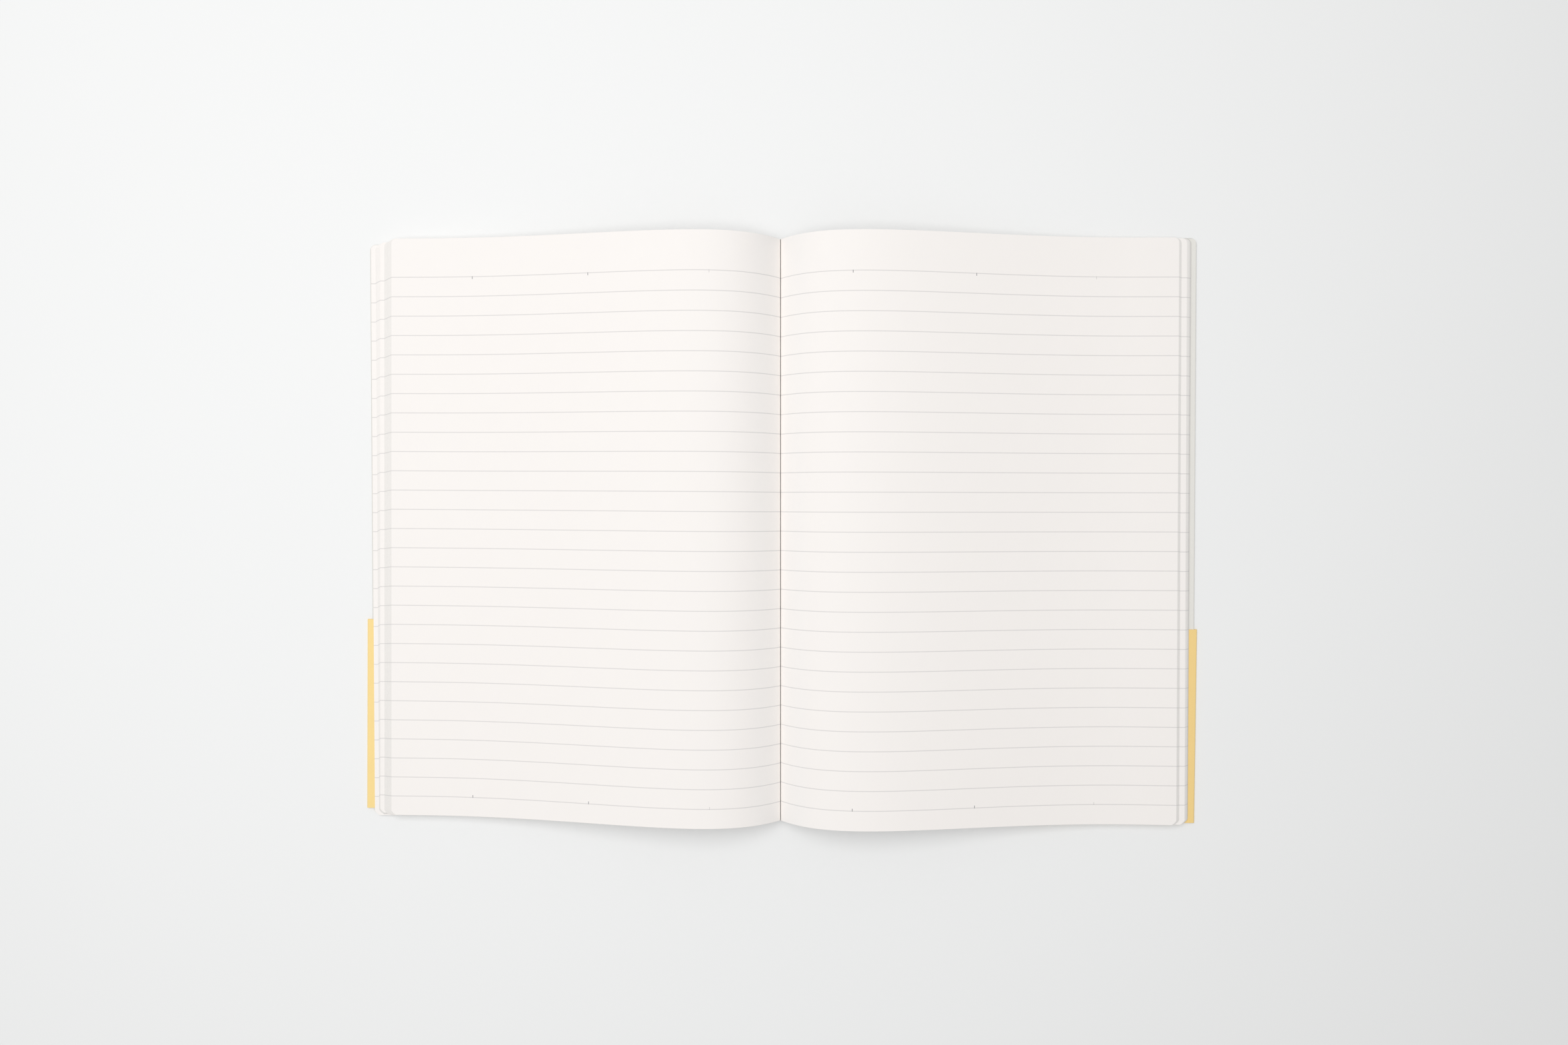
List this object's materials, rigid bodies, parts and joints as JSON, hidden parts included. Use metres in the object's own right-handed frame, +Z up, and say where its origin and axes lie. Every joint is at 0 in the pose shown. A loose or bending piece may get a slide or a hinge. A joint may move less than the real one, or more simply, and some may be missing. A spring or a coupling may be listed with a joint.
{
  "type": "notebook",
  "caption": "Open softcover ruled notebook with arched pages that fan out at the fore-edges, covers that fold back at the spine, and a paper band wrapped round the cover.",
  "frame": {"origin": "on the table, under the middle of the whole notebook", "axes": "+Z up from the table, +Y towards the head of the pages, +X towards the back cover"},
  "size_m": [0.3036, 0.2104, 0.0179],
  "materials": {
    "pages": "matte",
    "card": "matte",
    "band": "matte",
    "glue": "satin"
  },
  "bodies": {
    "pages": {"text_block": "pages", "spine_glue": "glue", "cover_spine": "card", "band_spine": "band"},
    "front_cover": {"front_cover": "card", "band_front": "band"},
    "back_cover": {"back_cover": "card", "band_back": "band"}
  },
  "joints": [
    {"name": "front_cover_fold", "type": "hinge", "parent": "pages", "child": "front_cover", "pos_m": [-0.00282, 0.00021, 0.00045], "axis": [0, -1, 0], "range_deg": [0, 90]},
    {"name": "back_cover_fold", "type": "hinge", "parent": "pages", "child": "back_cover", "pos_m": [0.00422, 0.00021, 0.00045], "axis": [0, 1, 0], "range_deg": [0, 90]}
  ]
}
